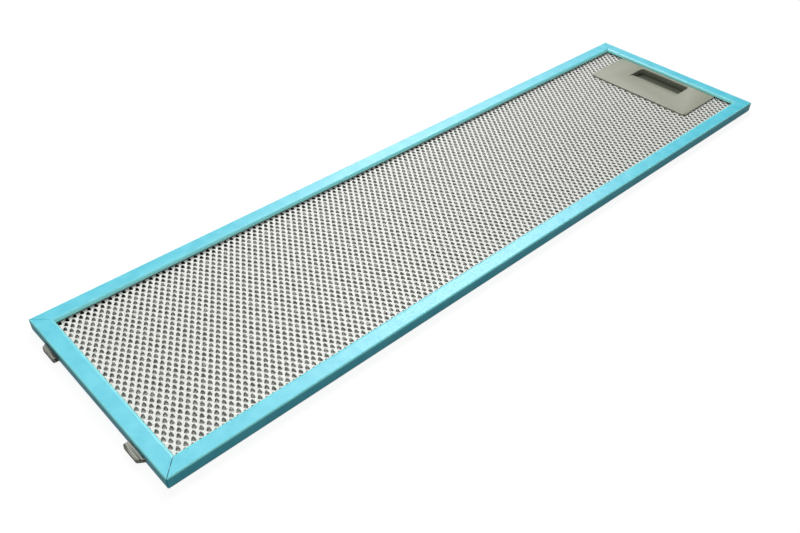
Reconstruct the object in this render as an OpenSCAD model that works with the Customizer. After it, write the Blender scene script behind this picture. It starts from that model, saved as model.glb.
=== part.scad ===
// Cooker hood filter: a slim metal mesh grease filter in a folded channel frame.
// The frame is one rolled strip with mitred flanges, closed at one corner over a hidden key.
// It holds two outer sheets of expanded aluminium with three finer layers between them, a
// moulded finger handle at one end and two sprung leaf catches at the other.
// X runs along the filter from the catches to the handle, Y across it and Z up from the
// underside. The origin is the middle of the whole footprint, on the underside.

/* [Frame] */
// Length of the channel frame, without the catches
frame_len = 560; // [300:5:700]
// Width of the channel frame
frame_wid = 150; // [126:2:320]
// Depth of the channel frame
frame_thk = 8; // [7.6:0.2:12]
// Thickness of the frame's strip
strip_t = 0.5; // [0.4:0.05:0.6]
// Width of the flanges that frame the mesh
flange_w = 11; // [10:0.5:16]
// Depth of the turned lip along the top flange
top_lip = 2.2; // [1.6:0.1:2.4]
// Depth of the turned lip along the bottom flange
bottom_lip = 1.2; // [1.1:0.05:1.5]
// Outside radius of the strip's bends
bend_r = 1; // [0.7:0.1:1.1]
// Outside radius of the softer bend from the top flange into its lip
lip_bend_r = 2; // [1:0.1:2.2]
// Open width of the mitres at the three folded corners
mitre_gap = 0.2; // [0.1:0.05:0.4]
// Open width of the seam at the corner where the strip's ends meet
seam_gap = 0.4; // [0.2:0.05:0.6]

/* [Mesh] */
// Distance between the strands of the outer sheets
strand_pitch = 4.6; // [4.6:0.1:8]
// Width of one strand, seen from above
strand_w = 2.7; // [2:0.1:3.2]
// Thickness of the metal in a strand
strand_t = 0.5; // [0.4:0.05:0.6]
// Height of an outer sheet over its leaning strands
outer_h = 1.1; // [0.9:0.05:1.2]
// Plain border of the outer sheets, hidden under the flanges
border_w = 3; // [2:0.5:3]
// Distance between the ridges of the layers between the outer sheets
ridge_pitch = 6.5; // [4:0.5:10]
// Thickness of the foil in those layers
foil_t = 0.12; // [0.08:0.01:0.15]

/* [Handle] */
// Distance from the handle end's outer face to the plate's free edge
plate_reach = 58; // [52:1:80]
// Width of the handle plate across the filter
plate_wid = 94; // [70:1:100]
// Thickness of the handle plate
plate_t = 1; // [0.9:0.1:1.2]
// Radius of the plate's two free corners
plate_r = 3; // [1:0.5:8]
// Distance from the handle end's outer face to the far wall of the finger recess
recess_back = 13.4; // [13.4:0.1:18]
// Length of the finger recess along the filter, with its ramp
recess_len = 22.6; // [20:0.2:28]
// Length of the ramp that leads down into the recess
ramp_run = 17; // [12:0.5:19]
// Width of the finger recess across the filter
recess_wid = 47.5; // [36:0.5:54]
// Radius of the recess corners beside the far wall
recess_r = 3; // [1:0.5:5]
// Wall of the moulded tray below the plate
tray_t = 1.2; // [1:0.1:1.5]
// Floor of the moulded tray
floor_t = 0.9; // [0.8:0.1:1]
// Height of the tray's underside above the frame's underside
tray_lift = 0.4; // [0.3:0.05:0.5]
// Thickness of the ribs under the ramp
rib_t = 0.8; // [0.6:0.1:1.2]
// Length of each snap nose that catches below the bottom sheet
nose_len = 5; // [3:0.5:7]
// Reach of a snap nose below the bottom sheet
nose_out = 1; // [0.6:0.1:1.4]

/* [Leaf catches] */
// Distance from each long side to the middle of the catch beside it
catch_inset = 28; // [26:1:40]
// Length of a catch's crown at the wall
catch_len = 16; // [14:0.5:20]
// Distance that the near catch stands out of the end wall
catch_out = 4; // [3:0.1:4.2]
// Distance by which the far catch stands out less
far_catch_slack = 0.6; // [0:0.1:1]
// Length of the sloping end of the crown
catch_slope = 3; // [1.5:0.5:4]
// Thickness of the spring strip
leaf_t = 0.5; // [0.4:0.05:0.6]
// Width of the spring strip, upright in the frame
leaf_h = 2.8; // [2.2:0.1:3.2]
// Height of the strip's lower edge above the frame's underside
leaf_z = 1.5; // [1.4:0.1:2]
// Slit left between the end wall and the lid that is folded in along the crown's top edge
lid_slit = 0.3; // [0.2:0.1:1.5]
// Length of each foot behind the wall
foot_len = 7; // [5:0.5:8]
// Distance that a catch can be pressed in
catch_travel = 3.5; // [2.5:0.1:3.5]

/* [Hidden parts] */
// Thickness of the backing bar behind the catches
bar_t = 0.8; // [0.6:0.1:1]
// Thickness of the corner key
key_t = 0.8; // [0.6:0.1:1]
// Length of the corner key along the long side
key_long = 22; // [15:1:40]
// Length of the corner key along the end
key_short = 9; // [6:0.5:11]

/* [Clearances] */
// Gap between pieces that rest against each other
seat_gap = 0.1; // [0.05:0.01:0.15]
// Gap round pieces that pass through each other
pass_gap = 0.3; // [0.2:0.05:0.5]
// Gap between the layers of the mesh pack
layer_gap = 0.05; // [0.03:0.01:0.06]

/* [Hidden] */
$fn = 48;

// Places along the filter: the outer faces of the two end walls
tab_x = (catch_out - frame_len) / 2;
handle_x = tab_x + frame_len;
side_y = frame_wid / 2;
catch_y = side_y - catch_inset;

// The pack's outer edges, clear of the key on three sides and of the bar at the catches
pack_edge = strip_t + seat_gap + key_t + seat_gap;
bar_u = strip_t + seat_gap + leaf_t + catch_travel + pass_gap;
pack_x0 = tab_x + bar_u + bar_t + seat_gap;
pack_x1 = handle_x - pack_edge;
pack_y = side_y - pack_edge;

// The stack from the bottom lip up to the handle plate, with equal layers in what is left
plate_top = frame_thk - top_lip - seat_gap;
plate_z = plate_top - plate_t;
top_sheet_z = plate_z - seat_gap - outer_h;
bottom_sheet_z = bottom_lip + seat_gap;
inner_z = bottom_sheet_z + outer_h + layer_gap;
inner_count = 3;
inner_h = (top_sheet_z - inner_z) / inner_count - layer_gap;

// The tray below the plate
floor_z = tray_lift + floor_t;
recess_x1 = handle_x - recess_back;
recess_x0 = recess_x1 - recess_len;
tray_x0 = recess_x0 - tray_t / 2;
tray_x1 = recess_x1 + tray_t;
tray_y = recess_wid / 2 + tray_t;
far = 2 * frame_thk;

// Points of an arc about a centre, from angle a0 to a1 in steps
function arc(c, r, a0, a1, steps = 12) =
    [for (i = [0:steps]) let (a = a0 + (a1 - a0) * i / steps) c + r * [cos(a), sin(a)]];

// A rectangle with one corner at the origin and every corner rounded
module rounded(w, h, r) {
    translate([r, 0]) square([w - 2 * r, h]);
    translate([0, r]) square([w, h - 2 * r]);
    for (x = [r, w - r], y = [r, h - r])
        translate([x, y]) circle(r);
}

// Frame

// Filled section of the channel, set in by a distance, with the soft bend at its upper right
module channel_outline(inset) {
    w = flange_w - 2 * inset;
    h = frame_thk - 2 * inset;
    r = lip_bend_r - inset;
    translate([inset, inset]) intersection() {
        rounded(w, h, bend_r - inset);
        union() {
            square([w - r, h]);
            square([w, h - r]);
            translate([w - r, h - r]) circle(r);
        }
    }
}

// The rolled section: wall at the left, flanges above and below, lips turned in at the mouth
module channel_section() {
    difference() {
        channel_outline(0);
        channel_outline(strip_t);
        translate([flange_w / 2, bottom_lip])
            square([flange_w, frame_thk - top_lip - bottom_lip]);
    }
}

// One side along +X with its outer face on the X axis, its flanges cut to mitres
module channel_side(len) {
    cut = flange_w + 1;
    intersection() {
        rotate([90, 0, 90]) linear_extrude(len) channel_section();
        linear_extrude(frame_thk)
            polygon([[0, 0], [len, 0], [len - cut, cut], [cut, cut]]);
    }
}

// The frame's outline from above, set in by a distance on every side
module outline(inset = 0) {
    translate([tab_x + inset, inset - side_y])
        rounded(frame_len - 2 * inset, frame_wid - 2 * inset, bend_r - inset);
}

// A mitre's thin cut, from a distance before the corner's bend to beyond the lips
module mitre_cut(gap, start) {
    rotate([0, 0, 45]) translate([start * sqrt(2), -gap / 2, -1])
        cube([(flange_w + 1 - start) * sqrt(2), gap, frame_thk + 2]);
}

module catch_window(side) {
    len = catch_len + 2 * pass_gap;
    translate([tab_x - 1, side * catch_y - len / 2, leaf_z - pass_gap])
        cube([strip_t + 2, len, leaf_h + 2 * pass_gap]);
}

module frame() {
    color("#7fd9e6") difference() {
        union() {
            intersection() {
                union() {
                    translate([tab_x, -side_y, 0]) channel_side(frame_len);
                    translate([handle_x, -side_y, 0]) rotate([0, 0, 90]) channel_side(frame_wid);
                    translate([handle_x, side_y, 0]) rotate([0, 0, 180]) channel_side(frame_len);
                    translate([tab_x, side_y, 0]) rotate([0, 0, 270]) channel_side(frame_wid);
                }
                linear_extrude(frame_thk) outline();
            }
            translate([0, 0, bend_r]) linear_extrude(frame_thk - 2 * bend_r) difference() {
                outline();
                outline(strip_t);
            }
        }
        translate([handle_x, -side_y, 0]) rotate([0, 0, 90]) mitre_cut(mitre_gap, bend_r);
        translate([handle_x, side_y, 0]) rotate([0, 0, 180]) mitre_cut(mitre_gap, bend_r);
        translate([tab_x, side_y, 0]) rotate([0, 0, 270]) mitre_cut(mitre_gap, bend_r);
        translate([tab_x, -side_y, 0]) mitre_cut(seam_gap, -1);
        for (side = [-1, 1])
            catch_window(side);
    }
}

// Bent angle that closes the seam from inside the channel
module corner_key() {
    inset = strip_t + seat_gap;
    height = frame_thk - 2 * bend_r;
    color("#b9bcbe") translate([tab_x + inset, inset - side_y, bend_r]) linear_extrude(height)
        difference() {
            union() {
                translate([bend_r, 0]) square([key_long - bend_r, key_t]);
                translate([0, bend_r]) square([key_t, key_short - bend_r]);
                intersection() {
                    translate([bend_r, bend_r]) circle(bend_r);
                    square(bend_r);
                }
            }
            translate([key_t, key_t]) square(key_long);
        }
}

// Mesh pack

// Clear hole through every sheet for the handle's tray
module tray_hole() {
    translate([tray_x0 - pass_gap, -tray_y - pass_gap, -1])
        cube([tray_x1 - tray_x0 + 2 * pass_gap, 2 * (tray_y + pass_gap), far]);
}

// Section of one leaning strand, from its low edge to its high edge
module strand_section() {
    edge = 2 * strand_t;
    polygon([[0, 0], [edge, 0], [strand_w, outer_h], [strand_w - edge, outer_h]]);
}

// An outer sheet: strands right across it, joined by a plain border
module outer_sheet() {
    clear_x0 = pack_x0 + border_w;
    clear_x1 = pack_x1 - border_w;
    gap = strand_pitch - strand_w;
    count = floor((clear_x1 - clear_x0 - gap) / strand_pitch);
    start = (clear_x0 + clear_x1 - count * strand_pitch + gap) / 2;
    linear_extrude(strand_t) difference() {
        translate([pack_x0, -pack_y]) square([pack_x1 - pack_x0, 2 * pack_y]);
        translate([clear_x0, border_w - pack_y])
            square([clear_x1 - clear_x0, 2 * (pack_y - border_w)]);
    }
    translate([0, pack_y - border_w / 2, 0]) rotate([90, 0, 0])
        linear_extrude(2 * pack_y - border_w)
            for (i = [0:count - 1])
                translate([start + i * strand_pitch, 0]) strand_section();
}

module bottom_mesh() {
    color("#d9d6cc") difference() {
        translate([0, 0, bottom_sheet_z + outer_h]) mirror([0, 0, 1]) outer_sheet();
        tray_hole();
    }
}

module top_mesh() {
    color("#e6e3d8") difference() {
        translate([0, 0, top_sheet_z]) outer_sheet();
        tray_hole();
    }
}

// Ridged foil over a width, with its ridges running along a length
module ridged_foil(width, length) {
    count = floor(width / ridge_pitch);
    pitch = width / count;
    rise = inner_h - foil_t;
    tops = [for (i = [0:2 * count]) [i * pitch / 2, foil_t + (i % 2) * rise]];
    bottoms = [for (i = [2 * count:-1:0]) [i * pitch / 2, (i % 2) * rise]];
    rotate([90, 0, 90]) linear_extrude(length) polygon(concat(tops, bottoms));
}

// Layer number k of the pack, its ridges crossing those of the next one
module inner_layer(k) {
    z = inner_z + (k - 1) * (inner_h + layer_gap);
    length = pack_x1 - pack_x0;
    color("#b4b3ac") difference() {
        if (k % 2 == 1)
            translate([pack_x0, -pack_y, z]) ridged_foil(2 * pack_y, length);
        else
            translate([pack_x1, -pack_y, z]) rotate([0, 0, 90]) ridged_foil(length, 2 * pack_y);
        tray_hole();
    }
}

module inner_mesh_1() { inner_layer(1); }
module inner_mesh_2() { inner_layer(2); }
module inner_mesh_3() { inner_layer(3); }

// Handle

// The ramp's line from the plate down to the floor: two equal arcs, one after the other
function ramp_line(drop = 0) =
    let (
        fall = plate_top - floor_z,
        r = (ramp_run * ramp_run + fall * fall) / (4 * fall),
        turn = 2 * atan(fall / ramp_run)
    )
    concat(
        arc([recess_x0, plate_top - r - drop], r, 90, 90 - turn),
        arc([recess_x0 + ramp_run, floor_z + r - drop], r, 270 - turn, 270)
    );

// Plan of the finger recess, its far corners rounded
module recess_plan() {
    x = recess_x1 - recess_r;
    translate([recess_x0, -recess_wid / 2]) square([recess_len - recess_r, recess_wid]);
    translate([x - 1, recess_r - recess_wid / 2]) square([recess_r + 1, recess_wid - 2 * recess_r]);
    for (side = [-1, 1])
        translate([x, side * (recess_wid / 2 - recess_r)]) circle(recess_r);
}

// The space above the ramp and floor
module recess_space() {
    intersection() {
        rotate([90, 0, 0]) translate([0, 0, -tray_y]) linear_extrude(2 * tray_y)
            polygon(concat(
                ramp_line(),
                [[tray_x1, floor_z], [tray_x1, far], [recess_x0, far]]
            ));
        linear_extrude(far) recess_plan();
    }
}

// The hollow under the ramp, open below and crossed by ribs
module ramp_hollow() {
    x0 = tray_x0 + tray_t;
    difference() {
        rotate([90, 0, 0]) translate([0, 0, -recess_wid / 2]) linear_extrude(recess_wid)
            intersection() {
                polygon(concat(ramp_line(tray_t), [[tray_x1, -1], [recess_x0, -1]]));
                translate([x0, -1]) square([recess_x0 + ramp_run - x0, far]);
            }
        for (i = [-1:1])
            translate([x0 - 1, i * recess_wid / 4 - rib_t / 2, tray_lift])
                cube([ramp_run + 2, rib_t, far]);
    }
}

// Snap nose with a sloping lead, standing out along +Y below the bottom sheet
module snap_nose() {
    height = bottom_sheet_z - seat_gap - tray_lift;
    rotate([90, 0, 90]) linear_extrude(nose_len)
        polygon([
            [-tray_t / 2, 0], [pass_gap, 0], [pass_gap + nose_out, height / 2],
            [pass_gap + nose_out, height], [-tray_t / 2, height]
        ]);
}

module handle() {
    plate_x0 = handle_x - plate_reach;
    plate_x1 = pack_x1;
    color("#a4a899") {
        difference() {
            union() {
                translate([0, 0, plate_z]) linear_extrude(plate_t) {
                    translate([plate_x0 + plate_r, -plate_wid / 2])
                        square([plate_x1 - plate_x0 - plate_r, plate_wid]);
                    translate([plate_x0, plate_r - plate_wid / 2])
                        square([plate_r + 1, plate_wid - 2 * plate_r]);
                    for (side = [-1, 1])
                        translate([plate_x0 + plate_r, side * (plate_wid / 2 - plate_r)])
                            circle(plate_r);
                }
                translate([tray_x0, -tray_y, tray_lift])
                    linear_extrude(plate_top - tray_lift - plate_t / 2)
                        rounded(tray_x1 - tray_x0, 2 * tray_y, tray_t);
                for (side = [0, 1], part = [0.25, 0.75])
                    mirror([0, side, 0])
                        translate([
                            tray_x0 + part * (tray_x1 - tray_x0) - nose_len / 2,
                            tray_y, tray_lift
                        ])
                            snap_nose();
            }
            recess_space();
            ramp_hollow();
        }
    }
}

// Backing bar and leaf catches

// Plain strip between the catches' chamber and the mesh pack
module backing_bar() {
    inset = strip_t + seat_gap;
    color("#b9bcbe") translate([tab_x + bar_u, -pack_y, inset])
        cube([bar_t, 2 * pack_y, frame_thk - 2 * inset]);
}

function unit(v) = v / norm(v);
function left(v) = [-v[1], v[0]];
function place(p) = [p[0], p[1]];

// One bend of a path, at q between p and s, for the line that lies off to the path's left
function bend(p, q, s, off) =
    let (
        a = unit(place(q) - place(p)),
        b = unit(place(s) - place(q)),
        turn = atan2(cross(a, b), a * b),
        side = sign(turn),
        c = place(q) - a * q[2] * tan(abs(turn) / 2) + side * q[2] * left(a),
        start = -side * left(a),
        a0 = atan2(start[1], start[0])
    )
    arc(c, q[2] - side * off, a0, a0 + turn, 6);

// A path moved off to its left, with every inner point rounded to the radius it carries
function path_side(path, off) =
    let (n = len(path) - 1)
    concat(
        [place(path[0]) + off * left(unit(place(path[1]) - place(path[0])))],
        [for (i = [1:n - 1]) each bend(path[i - 1], path[i], path[i + 1], off)],
        [place(path[n]) + off * left(unit(place(path[n]) - place(path[n - 1])))]
    );

// Strip of a thickness bent along a path of points [x, y, bend radius]
module bent_strip(path, thickness) {
    ahead = path_side(path, thickness / 2);
    behind = path_side(path, -thickness / 2);
    polygon(concat(ahead, [for (i = [len(behind) - 1:-1:0]) behind[i]]));
}

// Leaf with its feet behind the end wall and its crown outside, sloping at the outer end
module leaf_catch(side, out) {
    foot_x = strip_t + seat_gap + leaf_t / 2;
    crown_x = leaf_t / 2 - out;
    half = catch_len / 2 - leaf_t / 2;
    path = [
        [foot_x, -half - foot_len, 0],
        [foot_x, -half, leaf_t],
        [crown_x, -half, 1.6 * leaf_t],
        [crown_x, half - catch_slope, 2.4 * leaf_t],
        [foot_x, half, leaf_t],
        [foot_x, half + foot_len, 0]
    ];
    color("#8d8880") translate([tab_x, side * catch_y, leaf_z])
        mirror([0, side < 0 ? 1 : 0, 0]) {
            linear_extrude(leaf_h) bent_strip(path, leaf_t);
            translate([0, 0, leaf_h - leaf_t]) linear_extrude(leaf_t) intersection() {
                polygon(path_side(path, leaf_t / 2));
                translate([-out, -catch_len / 2]) square([out - lid_slit, catch_len]);
            }
        }
}

module leaf_catch_near() { leaf_catch(-1, catch_out); }
module leaf_catch_far() { leaf_catch(1, catch_out - far_catch_slack); }

frame();
corner_key();
bottom_mesh();
inner_mesh_1();
inner_mesh_2();
inner_mesh_3();
top_mesh();
handle();
backing_bar();
leaf_catch_near();
leaf_catch_far();
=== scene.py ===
"""Looks of a slim cooker hood grease filter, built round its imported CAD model.

The filter lies on a pale floor with its handle side up. X runs from the leaf catches to the
handle, Y across the filter and Z up, all in metres.
"""

import logging
import math
from dataclasses import dataclass, field
from enum import Enum
from typing import Any, Callable

import bmesh
import bpy
from mathutils import Matrix, Vector


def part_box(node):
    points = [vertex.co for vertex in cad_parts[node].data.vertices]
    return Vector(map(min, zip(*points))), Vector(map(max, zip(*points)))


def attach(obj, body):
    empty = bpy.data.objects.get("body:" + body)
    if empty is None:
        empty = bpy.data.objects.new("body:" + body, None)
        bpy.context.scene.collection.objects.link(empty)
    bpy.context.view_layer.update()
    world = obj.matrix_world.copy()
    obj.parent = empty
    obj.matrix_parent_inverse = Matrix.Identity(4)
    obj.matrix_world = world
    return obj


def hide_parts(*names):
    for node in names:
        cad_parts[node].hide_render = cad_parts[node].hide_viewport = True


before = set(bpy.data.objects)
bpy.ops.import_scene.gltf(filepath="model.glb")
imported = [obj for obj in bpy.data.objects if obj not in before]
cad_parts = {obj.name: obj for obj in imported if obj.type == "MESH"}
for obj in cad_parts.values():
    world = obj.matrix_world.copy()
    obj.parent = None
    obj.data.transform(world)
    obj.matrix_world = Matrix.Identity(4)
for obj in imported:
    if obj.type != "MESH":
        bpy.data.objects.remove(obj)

MM = 0.001
# Most of a noise pattern lies between these
NOISE_LOW, NOISE_HIGH = 0.3, 0.7
# Points of a CAD node that lie closer than this are one point
CAD_WELD = 0.0005 * MM
# Points of two cells that lie closer than this are one point, or are level with each other
CLOSE = 0.02 * MM
# Faces of a CAD node that turn by less than the first angle are one face, and its edges that
# turn by more than the second are sharp
FLAT_DEG, SHARP_DEG = 0.5, 35.0
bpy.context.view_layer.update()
Tree = bpy.types.NodeTree
Socket = bpy.types.NodeSocket
log = logging.getLogger("filter")


def linear(hex_colour: str) -> tuple[float, float, float, float]:
    """Turns an sRGB hex colour to the linear values that a shader takes.

    Args:
        hex_colour: six hex digits after a hash sign.

    Returns:
        Linear red, green and blue, with an alpha of 1.
    """
    values = [int(hex_colour[i : i + 2], 16) / 255 for i in (1, 3, 5)]
    red, green, blue = (
        v / 12.92 if v <= 0.04045 else ((v + 0.055) / 1.055) ** 2.4 for v in values
    )
    return red, green, blue, 1.0


def add_node(
    tree: Tree,
    kind: str,
    settings: dict[Any, Any] | None = None,
    links: dict[Any, Socket] | None = None,
) -> bpy.types.Node:
    """Adds a shader node, sets it up and links its inputs.

    Args:
        tree: the node tree that takes the node.
        kind: the node's type, as Blender names it.
        settings: input values by name or index, or the node's own properties by name.
        links: for an input's name or index, the output socket that feeds it.

    Returns:
        The new node.
    """
    node = tree.nodes.new(kind)
    for key, value in (settings or {}).items():
        if isinstance(key, int) or key in node.inputs:
            node.inputs[key].default_value = value
        else:
            setattr(node, key, value)
    for key, socket in (links or {}).items():
        tree.links.new(socket, node.inputs[key])
    return node


def new_material(name: str) -> tuple[bpy.types.Material, Tree]:
    """Makes an empty node material.

    Args:
        name: the material's name.

    Returns:
        The material and its cleared node tree.
    """
    material = bpy.data.materials.new(name)
    material.use_nodes = True
    material.node_tree.nodes.clear()
    return material, material.node_tree


def spread(
    tree: Tree,
    value: Socket,
    low: float,
    high: float,
    to_low: float = 0.0,
    to_high: float = 1.0,
) -> Socket:
    """Maps one range of a value to another, and holds it at the ends.

    Args:
        tree: the node tree that takes the node.
        value: the value's socket.
        low: the value that becomes to_low.
        high: the value that becomes to_high.
        to_low: the result at the low end.
        to_high: the result at the high end.

    Returns:
        The socket of the result.
    """
    node = add_node(
        tree,
        "ShaderNodeMapRange",
        {"From Min": low, "From Max": high, "To Min": to_low, "To Max": to_high},
        {"Value": value},
    )
    return node.outputs["Result"]


def combine(tree: Tree, operation: str, first: Socket, second: Socket) -> Socket:
    """Works one value out of two.

    Args:
        tree: the node tree that takes the node.
        operation: what is done, as Blender names it.
        first: the first value's socket.
        second: the second value's socket.

    Returns:
        The socket of the result.
    """
    node = add_node(tree, "ShaderNodeMath", {"operation": operation}, {0: first, 1: second})
    return node.outputs[0]


def blend(tree: Tree, first: str | Socket, second: str | Socket, amount: Socket) -> Socket:
    """Mixes two colours, each given as a hex colour or as a socket.

    Args:
        tree: the node tree that takes the node.
        first: the colour at an amount of 0.
        second: the colour at an amount of 1.
        amount: how much of the second colour there is.

    Returns:
        The socket of the mixed colour.
    """
    settings: dict[Any, Any] = {"data_type": "RGBA"}
    links: dict[Any, Socket] = {"Factor": amount}
    for index, colour in ((6, first), (7, second)):
        if isinstance(colour, str):
            settings[index] = linear(colour)
        else:
            links[index] = colour
    return add_node(tree, "ShaderNodeMix", settings, links).outputs[2]


def axis(tree: Tree, vector: Socket, name: str) -> Socket:
    """Takes one axis out of a vector.

    Args:
        tree: the node tree that takes the node.
        vector: the vector's socket.
        name: X, Y or Z.

    Returns:
        The socket of the value along that axis.
    """
    return add_node(tree, "ShaderNodeSeparateXYZ", None, {0: vector}).outputs[name]


def object_place(tree: Tree) -> Socket:
    """Gives the place in the shared frame, which each pattern is laid out on.

    Args:
        tree: the node tree that takes the node.

    Returns:
        The socket of the place.
    """
    return add_node(tree, "ShaderNodeTexCoord").outputs["Object"]


def end_surface(tree: Tree, settings: dict[str, float], links: dict[str, Socket]) -> None:
    """Ends a material in one surface shader.

    Args:
        tree: the node tree that takes the nodes.
        settings: the shader's fixed values.
        links: the sockets that feed its other inputs.
    """
    shader = add_node(tree, "ShaderNodeBsdfPrincipled", settings, links)
    add_node(tree, "ShaderNodeOutputMaterial", None, {"Surface": shader.outputs["BSDF"]})


@dataclass(frozen=True)
class Grain:
    """A soft random pattern in a material."""

    size_mm: float
    detail: float = 2.0
    rough: float = 0.5

    def build(self, tree: Tree, place: Socket) -> Socket:
        """Adds the pattern.

        Args:
            tree: the node tree that takes the node.
            place: the place that the pattern is laid out on.

        Returns:
            The pattern's socket, mostly between NOISE_LOW and NOISE_HIGH.
        """
        node = add_node(
            tree,
            "ShaderNodeTexNoise",
            {"Scale": 1 / (self.size_mm * MM), "Detail": self.detail, "Roughness": self.rough},
            {"Vector": place},
        )
        return node.outputs["Fac"]


@dataclass(frozen=True)
class Relief:
    """The slight height that a pattern gives a surface."""

    strength: float
    depth_mm: float

    def build(self, tree: Tree, height: Socket, under: Socket | None = None) -> Socket:
        """Adds the relief.

        Args:
            tree: the node tree that takes the node.
            height: the pattern's socket.
            under: the normal of a relief that lies under this one.

        Returns:
            The socket of the surface's normal.
        """
        links = {"Height": height}
        if under is not None:
            links["Normal"] = under
        settings = {"Strength": self.strength, "Distance": self.depth_mm * MM}
        return add_node(tree, "ShaderNodeBump", settings, links).outputs["Normal"]


@dataclass(frozen=True)
class FilmOverAluminium:
    """Light blue polyethylene film laminated on rolled aluminium strip, satin and faintly wavy."""

    name: str = "blue_polyethylene_film_on_aluminium"
    colour: str = "#4ecce1"
    stretched: str = "#5dd5e8"
    bend_highlight: str = "#9ef8f4"
    roughness: float = 0.33
    smoother: float = 0.05
    rougher: float = 0.06
    ior: float = 1.51
    sheen: float = 0.5
    # Long shallow waves where the film has lifted a little from the strip
    waves: Grain = Grain(size_mm=9.0, detail=2.0, rough=0.4)
    wave_relief: Relief = Relief(strength=0.8, depth_mm=0.2)
    patch_low: float = 0.35
    patch_high: float = 0.65
    # Small creases from the rolling, which break the highlight up
    creases: Grain = Grain(size_mm=1.6, detail=3.0, rough=0.6)
    crease_relief: Relief = Relief(strength=0.6, depth_mm=0.06)
    # How far in from the frame's outer edge the painted highlight of the inner bend and lip starts
    # and is full, and the width and strength of the painted highlight along the outer rim
    bend_mm: float = 9.0
    lip_mm: float = 11.0
    rim_mm: float = 1.1
    rim_highlight: float = 0.75

    def from_edge(self, tree: Tree, place: Socket) -> Socket:
        """Measures how far a place lies inside the frame's outer edge, in plan.

        Args:
            tree: the node tree that takes the nodes.
            place: the place in the shared frame.

        Returns:
            The socket of the distance to the nearest side.
        """
        low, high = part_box("frame")
        middle, half = (low + high) / 2, (high - low) / 2
        vector = "ShaderNodeVectorMath"
        offset = add_node(tree, vector, {"operation": "SUBTRACT", 1: middle}, {0: place})
        far = add_node(tree, vector, {"operation": "ABSOLUTE"}, {0: offset.outputs["Vector"]})
        inside = add_node(
            tree, vector, {"operation": "SUBTRACT", 0: half}, {1: far.outputs["Vector"]}
        )
        depth = inside.outputs["Vector"]
        return combine(tree, "MINIMUM", axis(tree, depth, "X"), axis(tree, depth, "Y"))

    def bent(self, tree: Tree, place: Socket) -> Socket:
        """Tells how much painted highlight a place gets: most on the inner bend and lip, less
        along the outer rim.

        Args:
            tree: the node tree that takes the nodes.
            place: the place in the shared frame.

        Returns:
            The socket that grows from 0 on the flat flange to 1 on the lip.
        """
        distance = self.from_edge(tree, place)
        lip = spread(tree, distance, self.bend_mm * MM, self.lip_mm * MM)
        wide, narrow = self.rim_mm * MM, self.rim_mm * MM / 2
        outside = spread(tree, distance, wide, narrow, to_high=self.rim_highlight)
        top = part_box("frame")[1].z
        raised = spread(tree, axis(tree, place, "Z"), top - wide, top - narrow)
        return combine(tree, "MAXIMUM", lip, combine(tree, "MULTIPLY", outside, raised))

    def build(self) -> bpy.types.Material:
        """Makes the film: a broad soft highlight, long waves, small wrinkles and a painted
        highlight on the bends.
        """
        material, tree = new_material(self.name)
        place = object_place(tree)
        waves, creases = self.waves.build(tree, place), self.creases.build(tree, place)
        patches = spread(tree, waves, self.patch_low, self.patch_high)
        flat = blend(tree, self.colour, self.stretched, patches)
        # Painted highlight: the bends and lips get a paler colour for the light that they catch
        tint = blend(tree, flat, self.bend_highlight, self.bent(tree, place))
        low, high = self.roughness - self.smoother, self.roughness + self.rougher
        wavy = self.wave_relief.build(tree, waves)
        end_surface(
            tree,
            {"Metallic": 0.0, "IOR": self.ior, "Specular IOR Level": self.sheen},
            {
                "Base Color": tint,
                "Roughness": spread(tree, creases, NOISE_LOW, NOISE_HIGH, low, high),
                "Normal": self.crease_relief.build(tree, creases, wavy),
            },
        )
        return material


@dataclass(frozen=True)
class BareAluminium:
    """Unpainted aluminium in one of its forms, from bright expanded sheet to dull foil."""

    name: str
    colour: str
    dull: str
    metallic: float
    roughness: float
    grain: Grain
    relief: Relief
    smoother: float = 0.06
    rougher: float = 0.08
    # pinched turns on a painted shadow along the far side, which darkens the first rows of holes
    # under the rail
    pinched: bool = False
    far_shadow_colour: str = "#1c1c1b"
    far_shadow_full_mm: float = 13.0
    far_shadow_end_mm: float = 19.0

    def pinch(self, tree: Tree, place: Socket, plain: Socket) -> Socket:
        """Paints shadow on the metal along the far side, so that the first rows of holes look
        black.

        Args:
            tree: the node tree that takes the nodes.
            place: the place in the shared frame.
            plain: the colour of the open metal.

        Returns:
            The socket of the colour with the painted shadow in it.
        """
        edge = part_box("frame")[1].y
        ends = edge - self.far_shadow_end_mm * MM, edge - self.far_shadow_full_mm * MM
        amount = spread(tree, axis(tree, place, "Y"), *ends)
        return blend(tree, plain, self.far_shadow_colour, amount)

    def build(self) -> bpy.types.Material:
        """Makes the metal, its grain a little duller where the cutting has scuffed it."""
        material, tree = new_material(self.name)
        place = object_place(tree)
        grain = self.grain.build(tree, place)
        colour = blend(tree, self.colour, self.dull, grain)
        # Painted shadow along the far side, where the rail shades the first rows of holes
        if self.pinched:
            colour = self.pinch(tree, place, colour)
        low, high = self.roughness - self.smoother, self.roughness + self.rougher
        end_surface(
            tree,
            {"Metallic": self.metallic},
            {
                "Base Color": colour,
                "Roughness": spread(tree, grain, NOISE_LOW, NOISE_HIGH, low, high),
                "Normal": self.relief.build(tree, grain),
            },
        )
        return material


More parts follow.
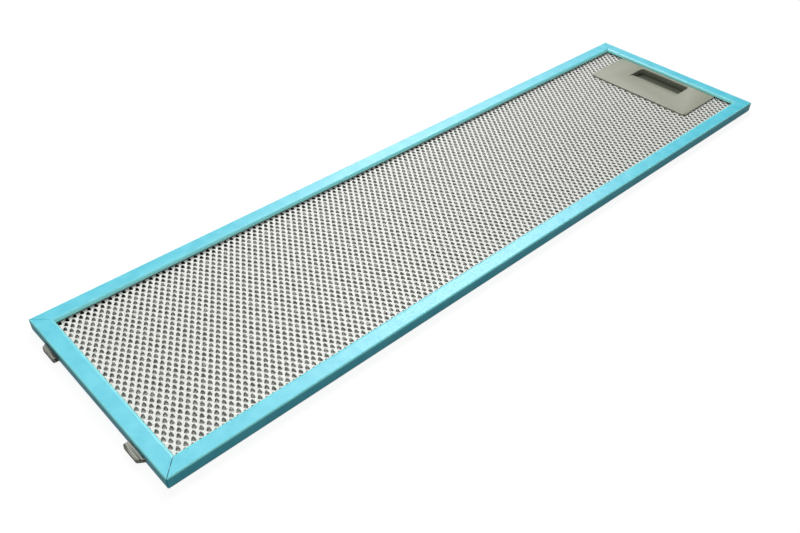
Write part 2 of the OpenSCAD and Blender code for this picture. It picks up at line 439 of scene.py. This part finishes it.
@dataclass(frozen=True)
class MouldedAbs:
    """Warm grey ABS from a spark-eroded mould: a fine even grain and a dull sheen."""

    name: str = "moulded_grey_abs"
    colour: str = "#969987"
    shade: str = "#929583"
    roughness: float = 0.55
    ior: float = 1.53
    # The mould's grain shows in the relief, and flow patches are just seen in the colour
    grain: Grain = Grain(size_mm=0.35, detail=2.0, rough=0.6)
    relief: Relief = Relief(strength=0.35, depth_mm=0.02)
    patches: Grain = Grain(size_mm=14.0, detail=1.0)
    recess_shade_wall: str = "#7b806f"
    recess_shade_floor: str = "#43463b"
    sheen: float = 0.5
    recess_shade_sheen: float = 0.1
    # Heights above the frame's underside at which the painted shade in the recess is darkest and
    # at which it has faded to the plate's colour
    wall_deep_mm: float = 4.2
    wall_open_mm: float = 5.6
    ramp_deep_mm: float = 1.4
    ramp_open_mm: float = 2.9
    # A face whose normal points lower than this is under the moulding, where no shade is painted
    faces_down: float = -0.5

    def paint_recess_shade(self, tree: Tree, place: Socket, plain: Socket) -> tuple[Socket, Socket]:
        """Paints shade into the finger recess, darker and with less sheen, so that it looks as
        deep as the real one.

        Args:
            tree: the node tree that takes the nodes.
            place: the place in the shared frame.
            plain: the colour of the plate.

        Returns:
            The sockets of the colour with the painted shade in the recess, and of the sheen.
        """
        faces = add_node(tree, "ShaderNodeTexCoord").outputs["Normal"]
        up = axis(tree, faces, "Z")
        # The painted shade fades slowly into the plate's colour on the ramp, and on the walls only
        # just below the plate
        dark_end, pale_end = (
            spread(tree, up, 0.0, 1.0, wall * MM, ramp * MM)
            for wall, ramp in (
                (self.wall_deep_mm, self.ramp_deep_mm),
                (self.wall_open_mm, self.ramp_open_mm),
            )
        )
        above = add_node(
            tree,
            "ShaderNodeMapRange",
            None,
            {"Value": axis(tree, place, "Z"), "From Min": dark_end, "From Max": pale_end},
        )
        below = add_node(
            tree, "ShaderNodeMath", {"operation": "LESS_THAN", 1: self.faces_down}, {0: up}
        )
        opened = combine(tree, "MAXIMUM", above.outputs["Result"], below.outputs[0])
        # Painted shade, darker on the recess floor than on its walls
        deep = blend(tree, self.recess_shade_wall, self.recess_shade_floor, up)
        sheen = spread(tree, opened, 0.0, 1.0, self.recess_shade_sheen, self.sheen)
        return blend(tree, deep, plain, opened), sheen

    def build(self) -> bpy.types.Material:
        """Makes the plastic, with its grain, its flow patches and the painted shade in the recess.
        """
        material, tree = new_material(self.name)
        place = object_place(tree)
        plain = blend(tree, self.colour, self.shade, self.patches.build(tree, place))
        colour, sheen = self.paint_recess_shade(tree, place, plain)
        end_surface(
            tree,
            {"Metallic": 0.0, "IOR": self.ior, "Roughness": self.roughness},
            {
                "Base Color": colour,
                "Specular IOR Level": sheen,
                "Normal": self.relief.build(tree, self.grain.build(tree, place)),
            },
        )
        return material


@dataclass(frozen=True)
class SpringSteel:
    """Cold-rolled spring steel, grey-green from its tempering, striped along the strip."""

    name: str = "tempered_spring_steel"
    colour: str = "#b2b4a8"
    temper: str = "#41423c"
    metallic: float = 0.5
    roughness: float = 0.45
    lines: Grain = Grain(size_mm=1.1)
    relief: Relief = Relief(strength=0.25, depth_mm=0.02)
    # The rolling lines run along the strip, so they hardly change along Y
    stretch: tuple[float, float, float] = (1.0, 0.04, 1.0)
    band_low: float = 0.38
    band_high: float = 0.62

    def build(self) -> bpy.types.Material:
        """Makes the steel: fine lines along the strip, darker where the temper colour is thick."""
        material, tree = new_material(self.name)
        place = object_place(tree)
        along = add_node(tree, "ShaderNodeMapping", {"Scale": self.stretch}, {"Vector": place})
        lines = self.lines.build(tree, along.outputs["Vector"])
        bands = spread(tree, lines, self.band_low, self.band_high)
        end_surface(
            tree,
            {"Metallic": self.metallic, "Roughness": self.roughness},
            {
                "Base Color": blend(tree, self.colour, self.temper, bands),
                "Normal": self.relief.build(tree, lines),
            },
        )
        return material


def seen_level(tree: Tree, to_camera: float, in_gloss: float, otherwise: float) -> Socket:
    """Gives a light's level for what looks at it.

    Args:
        tree: the node tree that takes the nodes.
        to_camera: the level that the camera sees.
        in_gloss: the level that shows in reflections and through clear pieces.
        otherwise: the level that lights the scene.

    Returns:
        The socket that carries the level.
    """
    rays = add_node(tree, "ShaderNodeLightPath")
    gloss = combine(
        tree, "MAXIMUM", rays.outputs["Is Glossy Ray"], rays.outputs["Is Transmission Ray"]
    )
    level = spread(tree, gloss, 0.0, 1.0, otherwise, in_gloss)
    seen = add_node(
        tree,
        "ShaderNodeMapRange",
        {"To Max": to_camera},
        {"Value": rays.outputs["Is Camera Ray"], "To Min": level},
    )
    return seen.outputs["Result"]


@dataclass(frozen=True)
class StudioPaper:
    """Seamless pale paper, which keeps the filter's shadow and is white to the camera."""

    name: str = "seamless_pale_paper"
    colour: str = "#747473"
    glow: float = 0.86
    glow_in_gloss: float = 0.15

    def build(self) -> bpy.types.Material:
        """Makes the paper: matt, with enough light of its own to look white where it is lit."""
        material, tree = new_material(self.name)
        matt = add_node(tree, "ShaderNodeBsdfDiffuse", {"Color": linear(self.colour)})
        level = seen_level(tree, self.glow, self.glow_in_gloss, 0.0)
        glow = add_node(tree, "ShaderNodeEmission", None, {"Strength": level})
        both = add_node(
            tree, "ShaderNodeAddShader", None, {0: matt.outputs[0], 1: glow.outputs[0]}
        )
        add_node(tree, "ShaderNodeOutputMaterial", None, {"Surface": both.outputs[0]})
        return material


# Bright sheet straight from the press: pale and neutral, with soft highlights
EXPANDED_SHEET = BareAluminium(
    "bright_expanded_aluminium",
    "#e9e9e4",
    "#dadad5",
    metallic=0.05,
    roughness=0.5,
    grain=Grain(size_mm=0.8),
    relief=Relief(strength=0.3, depth_mm=0.02),
)
# Thin annealed foil, duller and greyer than the sheet over it
EXPANDED_FOIL = BareAluminium(
    "annealed_aluminium_foil",
    "#abaaa5",
    "#8c8b86",
    metallic=0.4,
    roughness=0.5,
    grain=Grain(size_mm=1.2),
    relief=Relief(strength=0.3, depth_mm=0.02),
    # With a painted shadow along the far side
    pinched=True,
)
# Strip as the mill leaves it, with a plain grey shine
MILL_STRIP = BareAluminium(
    "mill_finish_aluminium",
    "#c3c5c6",
    "#b2b4b5",
    metallic=0.9,
    roughness=0.4,
    grain=Grain(size_mm=0.6),
    relief=Relief(strength=0.3, depth_mm=0.01),
)


def finished(
    name: str,
    bm: bmesh.types.BMesh,
    material: bpy.types.Material,
    body: str,
    nodes: tuple[str, ...],
    sharp_deg: float = 40.0,
) -> bpy.types.Object:
    """Turns a bmesh into a dressed piece that stands for CAD nodes.

    Args:
        name: the piece's name.
        bm: its shape, in the shared frame; it is freed.
        material: its finish.
        body: the CAD body that it rides on.
        nodes: the CAD nodes that it replaces.
        sharp_deg: edges that turn by more than this stay sharp.

    Returns:
        The piece.
    """
    mesh = bpy.data.meshes.new(name)
    bm.to_mesh(mesh)
    bm.free()
    mesh.shade_smooth()
    mesh.set_sharp_from_angle(angle=math.radians(sharp_deg))
    mesh.materials.append(material)
    piece = bpy.data.objects.new(name, mesh)
    bpy.context.scene.collection.objects.link(piece)
    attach(piece, body)
    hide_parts(*nodes)
    return piece


def dress(node: str, material: bpy.types.Material) -> None:
    """Gives a CAD node its finish.

    Args:
        node: the node's name.
        material: the finish for the whole of it.
    """
    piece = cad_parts[node]
    piece.data.materials.clear()
    piece.data.materials.append(material)


def eased_copy(
    node: str, width: float, pick: Callable[[bmesh.types.BMEdge], bool], segments: int = 2
) -> bmesh.types.BMesh:
    """Copies a CAD node's shape with small radii on the sharp edges that are picked.

    Args:
        node: the CAD node.
        width: size of the radius.
        pick: tells whether a sharp edge is eased.
        segments: faces across each radius.

    Returns:
        The eased shape.
    """
    bm = bmesh.new()
    bm.from_mesh(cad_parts[node].data)
    bmesh.ops.remove_doubles(bm, verts=bm.verts, dist=CAD_WELD)
    bmesh.ops.dissolve_limit(
        bm,
        angle_limit=math.radians(FLAT_DEG),
        verts=bm.verts,
        edges=bm.edges,
        delimit={"NORMAL"},
    )
    turn = math.radians(SHARP_DEG)
    sharp = [
        e
        for e in bm.edges
        if len(e.link_faces) == 2 and e.calc_face_angle(0.0) > turn and pick(e)
    ]
    bmesh.ops.bevel(
        bm,
        geom=sharp,
        offset=width,
        offset_type="OFFSET",
        segments=segments,
        profile=0.5,
        affect="EDGES",
        clamp_overlap=True,
        material=-1,
    )
    return bm


class Lean(Enum):
    """Which way the strands of an expanded sheet lean, seen from above."""

    UP_TO_HANDLE = -1
    UP_TO_CATCHES = 1


@dataclass
class ExpandedSheet:
    """A sheet of expanded metal: staggered openings, pointed on one side, in leaning strands."""

    name: str
    node: str
    slot: str
    finish: bpy.types.Material
    cell_short: float
    cell_long: float
    open_short: float
    open_long: float
    metal: float
    lean: Lean
    flatter: float = 0.0
    skew: float = 0.35
    shear: float = 0.1
    pinch: float = 0.45
    ring: int = 8
    sharp_deg: float = 50.0
    upside_down: bool = False
    rise: float = field(init=False)
    low: Vector = field(init=False)
    high: Vector = field(init=False)

    def __post_init__(self) -> None:
        """Takes the sheet's room from its CAD node, down from the node's top."""
        self.low, self.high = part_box(self.node)
        self.rise = self.high.z - self.low.z - self.metal - self.flatter

    def rim(self, angle: float) -> Vector:
        """Gives a point on an opening's edge, which is pointed at the catches' side.

        Args:
            angle: where on the edge, anticlockwise from the handle's side, in radians.

        Returns:
            The point, from the opening's middle.
        """
        across, along = math.cos(angle), math.sin(angle)
        narrow = 1 - self.pinch * max(0.0, -across)
        return Vector(
            (
                (across + self.skew * along**2 + self.shear * along) * self.open_short / 2,
                along * narrow * self.open_long / 2,
                self.lean.value * across * self.rise / 2,
            )
        )

    def cell(self, across: float, along: float) -> bmesh.types.BMesh:
        """Makes one cell, with an opening in its middle and a quarter of one at each corner.

        Args:
            across: the cell's size along X.
            along: its size along Y.

        Returns:
            The cell's upper surface, as a bmesh.
        """
        bm = bmesh.new()
        steps = self.ring // 4
        outline = []
        for turn, (x, y) in enumerate(((0, 0), (across, 0), (across, along), (0, along))):
            for k in range(steps + 1):
                rim = self.rim(math.pi / 2 * (turn + 1 - k / steps))
                outline.append(bm.verts.new(Vector((x, y, 0)) + rim))
        edges = [bm.edges.new((outline[i - 1], outline[i])) for i in range(len(outline))]
        circle = bmesh.ops.create_circle(bm, segments=self.ring, radius=1.0, cap_ends=False)
        for v in circle["verts"]:
            v.co = Vector((across / 2, along / 2, 0)) + self.rim(math.atan2(v.co.y, v.co.x))
        edges += dict.fromkeys(e for v in circle["verts"] for e in v.link_edges)
        bmesh.ops.triangle_fill(
            bm, use_beauty=True, use_dissolve=False, edges=edges, normal=(0, 0, 1)
        )
        return bm

    @staticmethod
    def repeat(bm: bmesh.types.BMesh, count: int, step: Vector) -> None:
        """Repeats a whole bmesh along a line and joins the copies.

        Args:
            bm: the shape, which grows.
            count: how many there are in the end.
            step: from one copy to the next.
        """
        first = bm.verts[:] + bm.edges[:] + bm.faces[:]
        for k in range(1, count):
            copy = bmesh.ops.duplicate(bm, geom=first)
            verts = [g for g in copy["geom"] if isinstance(g, bmesh.types.BMVert)]
            bmesh.ops.translate(bm, verts=verts, vec=step * k)
        bmesh.ops.remove_doubles(bm, verts=bm.verts, dist=CLOSE)

    @staticmethod
    def put_in_order(bm: bmesh.types.BMesh) -> None:
        """Puts points, edges and faces in one order, as an extrusion's order changes by the run.

        Args:
            bm: the shape, which stays the same.
        """
        for rank, vert in enumerate(sorted(bm.verts, key=lambda v: v.co[:])):
            vert.index = rank
        bm.verts.sort()
        for parts in (bm.edges, bm.faces):
            ranked = sorted(parts, key=lambda part: sorted(v.index for v in part.verts))
            for rank, part in enumerate(ranked):
                part.index = rank
            parts.sort()

    def build(self, hole: tuple[Vector, Vector]) -> bpy.types.Object:
        """Lays whole cells over the node's room, less a hole, and gives them their metal.

        Args:
            hole: lowest and highest corner of the space that the handle's tray takes.

        Returns:
            The sheet.
        """
        size = self.high - self.low
        columns, rows = round(size.x / self.cell_short), round(size.y / self.cell_long)
        across, along = size.x / columns, size.y / rows
        bm = self.cell(across, along)
        self.repeat(bm, columns, Vector((across, 0, 0)))
        self.repeat(bm, rows, Vector((0, along, 0)))
        middle = self.high.z - self.rise / 2
        bmesh.ops.translate(bm, verts=bm.verts, vec=(self.low.x, self.low.y, middle))
        low, high = hole
        inside = [
            f
            for f in bm.faces
            if all(low.x < v.co.x < high.x and low.y < v.co.y < high.y for v in f.verts)
        ]
        bmesh.ops.delete(bm, geom=inside, context="FACES")
        # Scraps that would hang on by a single corner go too
        while pinched := [v for v in bm.verts if sum(e.is_boundary for e in v.link_edges) > 2]:
            scraps = list(dict.fromkeys(f for v in pinched for f in v.link_faces))
            bmesh.ops.delete(bm, geom=scraps, context="FACES")
        bmesh.ops.recalc_face_normals(bm, faces=bm.faces)
        bm.faces.ensure_lookup_table()
        if bm.faces[0].normal.z < 0:
            bmesh.ops.reverse_faces(bm, faces=bm.faces)
        # The metal grows straight down from the upper surface
        upper = bm.faces[:]
        grown = bmesh.ops.extrude_face_region(bm, geom=upper)
        lower = [g for g in grown["geom"] if isinstance(g, bmesh.types.BMVert)]
        bmesh.ops.translate(bm, verts=lower, vec=(0, 0, -self.metal))
        if self.upside_down:
            turn = Matrix.Translation((0, 0, self.low.z + self.high.z)) @ Matrix.Scale(
                -1, 4, (0, 0, 1)
            )
            bmesh.ops.transform(bm, matrix=turn, verts=bm.verts)
        bmesh.ops.recalc_face_normals(bm, faces=bm.faces)
        self.put_in_order(bm)
        return finished(
            self.name, bm, self.finish, "filter", (self.node,), self.sharp_deg
        )


@dataclass
class MeshPack:
    """The filter's metal: two bright outer sheets with finer foil between them."""

    cell_short: float = 4.6 * MM
    cell_long: float = 6.7 * MM
    open_short: float = 2.6 * MM
    open_long: float = 4.0 * MM
    metal: float = 0.6 * MM
    flatter: float = 0.25 * MM
    foil_cell_short: float = 3.6 * MM
    foil_cell_long: float = 5.2 * MM
    foil_open_short: float = 2.2 * MM
    foil_open_long: float = 3.4 * MM
    foil_metal: float = 0.1 * MM
    tray_clearance: float = 0.25 * MM
    # The handle's tray is all that the handle has below this height
    tray_height: float = 2 * MM
    lean: Lean = Lean.UP_TO_CATCHES

    def build(self) -> list[bpy.types.Object]:
        """Makes the sheets and dresses the foil that stays as CAD.

        Returns:
            The new pieces, from the bottom up.
        """
        bright, dull = EXPANDED_SHEET.build(), EXPANDED_FOIL.build()
        hole = self.tray_room()
        outer = {
            "cell_short": self.cell_short,
            "cell_long": self.cell_long,
            "open_short": self.open_short,
            "open_long": self.open_long,
            "metal": self.metal,
            "flatter": self.flatter,
            "lean": self.lean,
            "slot": "outer_mesh",
            "finish": bright,
        }
        foil = {
            "cell_short": self.foil_cell_short,
            "cell_long": self.foil_cell_long,
            "open_short": self.foil_open_short,
            "open_long": self.foil_open_long,
            "metal": self.foil_metal,
            "lean": Lean.UP_TO_HANDLE,
            "slot": "inner_mesh",
            "finish": dull,
            "ring": 4,
        }
        sheets = [
            ExpandedSheet("expanded_sheet_bottom", "bottom_mesh", upside_down=True, **outer),
            ExpandedSheet("expanded_foil_bottom", "inner_mesh_1", **foil),
            ExpandedSheet("expanded_foil_top", "inner_mesh_3", **foil),
            ExpandedSheet("expanded_sheet_top", "top_mesh", **outer),
        ]
        dress("inner_mesh_2", dull)
        return [sheet.build(hole) for sheet in sheets]

    def tray_room(self) -> tuple[Vector, Vector]:
        """Finds the room round the handle's tray, below its plate.

        Returns:
            Lowest and highest corner, with the clearance.
        """
        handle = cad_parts["handle"].data
        tray = [v.co for v in handle.vertices if v.co.z < self.tray_height]
        gap = self.tray_clearance
        xs, ys = [c.x for c in tray], [c.y for c in tray]
        low = Vector((min(xs) - gap, min(ys) - gap, 0))
        return low, Vector((max(xs) + gap, max(ys) + gap, 0))


@dataclass
class ChannelFrame:
    """The rolled channel and its corner key in their film, and the bar behind the catches."""

    film: FilmOverAluminium = FilmOverAluminium()

    def build(self) -> None:
        """Dresses the frame, the corner key and the backing bar."""
        film = self.film.build()
        dress("frame", film)
        dress("corner_key", film)
        dress("backing_bar", MILL_STRIP.build())


@dataclass
class FingerHandle:
    """The moulded handle, with the small radii that its mould gives its upper edges."""

    radius: float = 0.3 * MM
    sharp_deg: float = 30.0
    plastic: MouldedAbs = MouldedAbs()

    def build(self) -> bpy.types.Object:
        """Makes the moulding.

        Returns:
            The piece that stands for the CAD handle.
        """
        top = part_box("handle")[1].z
        bm = eased_copy(
            "handle", self.radius, lambda e: all(v.co.z > top - CLOSE for v in e.verts)
        )
        return finished(
            "handle_moulding",
            bm,
            self.plastic.build(),
            "filter",
            ("handle",),
            self.sharp_deg,
        )


@dataclass
class LeafCatches:
    """The two bent spring strips, their edges slightly rounded."""

    radius: float = 0.08 * MM
    steel: SpringSteel = SpringSteel()

    def build(self) -> list[bpy.types.Object]:
        """Makes both catches.

        Returns:
            The near catch and the far catch.
        """
        steel = self.steel.build()
        made = []
        for side in ("near", "far"):
            node = f"leaf_catch_{side}"
            bm = eased_copy(node, self.radius, lambda e: True)
            made.append(
                finished(f"spring_leaf_{side}", bm, steel, f"{side}_catch", (node,))
            )
        return made


@dataclass
class Softbox:
    """A lamp with a rectangular pale front, aimed at a point."""

    name: str
    place: Vector
    aim: Vector
    width: float
    height: float
    power: float
    colour: str = "#ffffff"

    def build(self) -> None:
        """Hangs the lamp."""
        lamp = bpy.data.lights.new(self.name, "AREA")
        lamp.shape = "RECTANGLE"
        lamp.size, lamp.size_y = self.width, self.height
        lamp.energy = self.power
        lamp.color = linear(self.colour)[:3]
        holder = bpy.data.objects.new(self.name, lamp)
        holder.location = self.place
        holder.rotation_euler = (self.aim - self.place).to_track_quat("-Z", "Y").to_euler()
        bpy.context.scene.collection.objects.link(holder)


SOFTBOXES = (
    # High beyond the handle's far corner, the main light
    Softbox(
        "back_softbox",
        place=Vector((1.70, 1.52, 1.96)),
        aim=Vector((0, 0, 0)),
        width=1.1,
        height=0.9,
        power=42.0,
    ),
    # Above and beyond the far long side
    Softbox(
        "top_softbox",
        place=Vector((0.27, 1.02, 1.46)),
        aim=Vector((0, 0, 0)),
        width=1.2,
        height=0.8,
        power=10.5,
    ),
    # High behind the camera
    Softbox(
        "ceiling_softbox",
        place=Vector((-0.55, -0.4, 1.3)),
        aim=Vector((-0.1, 0, 0)),
        width=0.9,
        height=0.7,
        power=7.8,
    ),
)


@dataclass
class Studio:
    """The pale floor, the soft light and the camera at the photograph's angle."""

    floor_size: float = 6.0
    room_light: float = 0.145
    room_in_gloss: float = 0.2
    background: float = 1.0
    picture_width: float = 800.0
    focal_pixels: float = 839.27
    sensor: float = 36.0
    nearest: float = 0.01
    farthest: float = 20.0
    camera_place: Vector = field(default_factory=lambda: Vector((-0.36784, -0.32300, 0.35066)))
    camera_look: Vector = field(default_factory=lambda: Vector((0.53433, 0.54506, -0.64606)))
    camera_up: Vector = field(default_factory=lambda: Vector((0.42930, 0.48342, 0.76290)))

    def build(self) -> None:
        """Sets up everything that isn't the filter."""
        self.lay_floor()
        self.light_room()
        self.set_camera()
        for box in SOFTBOXES:
            box.build()

    def lay_floor(self) -> None:
        """Lays the paper under the filter."""
        bm = bmesh.new()
        bmesh.ops.create_grid(bm, x_segments=1, y_segments=1, size=self.floor_size / 2)
        mesh = bpy.data.meshes.new("floor")
        bm.to_mesh(mesh)
        bm.free()
        mesh.materials.append(StudioPaper().build())
        floor = bpy.data.objects.new("floor", mesh)
        bpy.context.scene.collection.objects.link(floor)

    def light_room(self) -> None:
        """Lights the room evenly, and makes it white to the camera and dim in reflections."""
        world = bpy.data.worlds.new("studio")
        world.use_nodes = True
        tree = world.node_tree
        tree.nodes.clear()
        level = seen_level(tree, self.background, self.room_in_gloss, self.room_light)
        light = add_node(
            tree, "ShaderNodeBackground", {"Color": linear("#ffffff")}, {"Strength": level}
        )
        add_node(tree, "ShaderNodeOutputWorld", None, {"Surface": light.outputs[0]})
        bpy.context.scene.world = world
        bpy.context.scene.view_settings.view_transform = "Standard"

    def set_camera(self) -> None:
        """Places the camera as the photograph's straight edges give it."""
        lens = bpy.data.cameras.new("camera")
        lens.sensor_width = self.sensor
        lens.lens = self.sensor * self.focal_pixels / self.picture_width
        lens.clip_start, lens.clip_end = self.nearest, self.farthest
        camera = bpy.data.objects.new("camera", lens)
        back = -self.camera_look.normalized()
        right = self.camera_up.cross(back).normalized()
        up = back.cross(right)
        turn = Matrix((right, up, back)).transposed().to_4x4()
        camera.matrix_world = Matrix.Translation(self.camera_place) @ turn
        bpy.context.scene.collection.objects.link(camera)
        bpy.context.scene.camera = camera


def main() -> None:
    """Builds the filter's parts in order and reports each piece."""
    logging.basicConfig(level=logging.INFO, format="%(name)s: %(message)s")
    ChannelFrame().build()
    log.info("frame, corner key and backing bar dressed")
    for piece in MeshPack().build():
        log.info("%s: %d faces", piece.name, len(piece.data.polygons))
    handle = FingerHandle().build()
    log.info("%s: %d faces", handle.name, len(handle.data.polygons))
    for leaf in LeafCatches().build():
        log.info("%s: %d faces", leaf.name, len(leaf.data.polygons))
    Studio().build()
    log.info("floor, lamps and camera set")


if __name__ == "__main__":
    main()
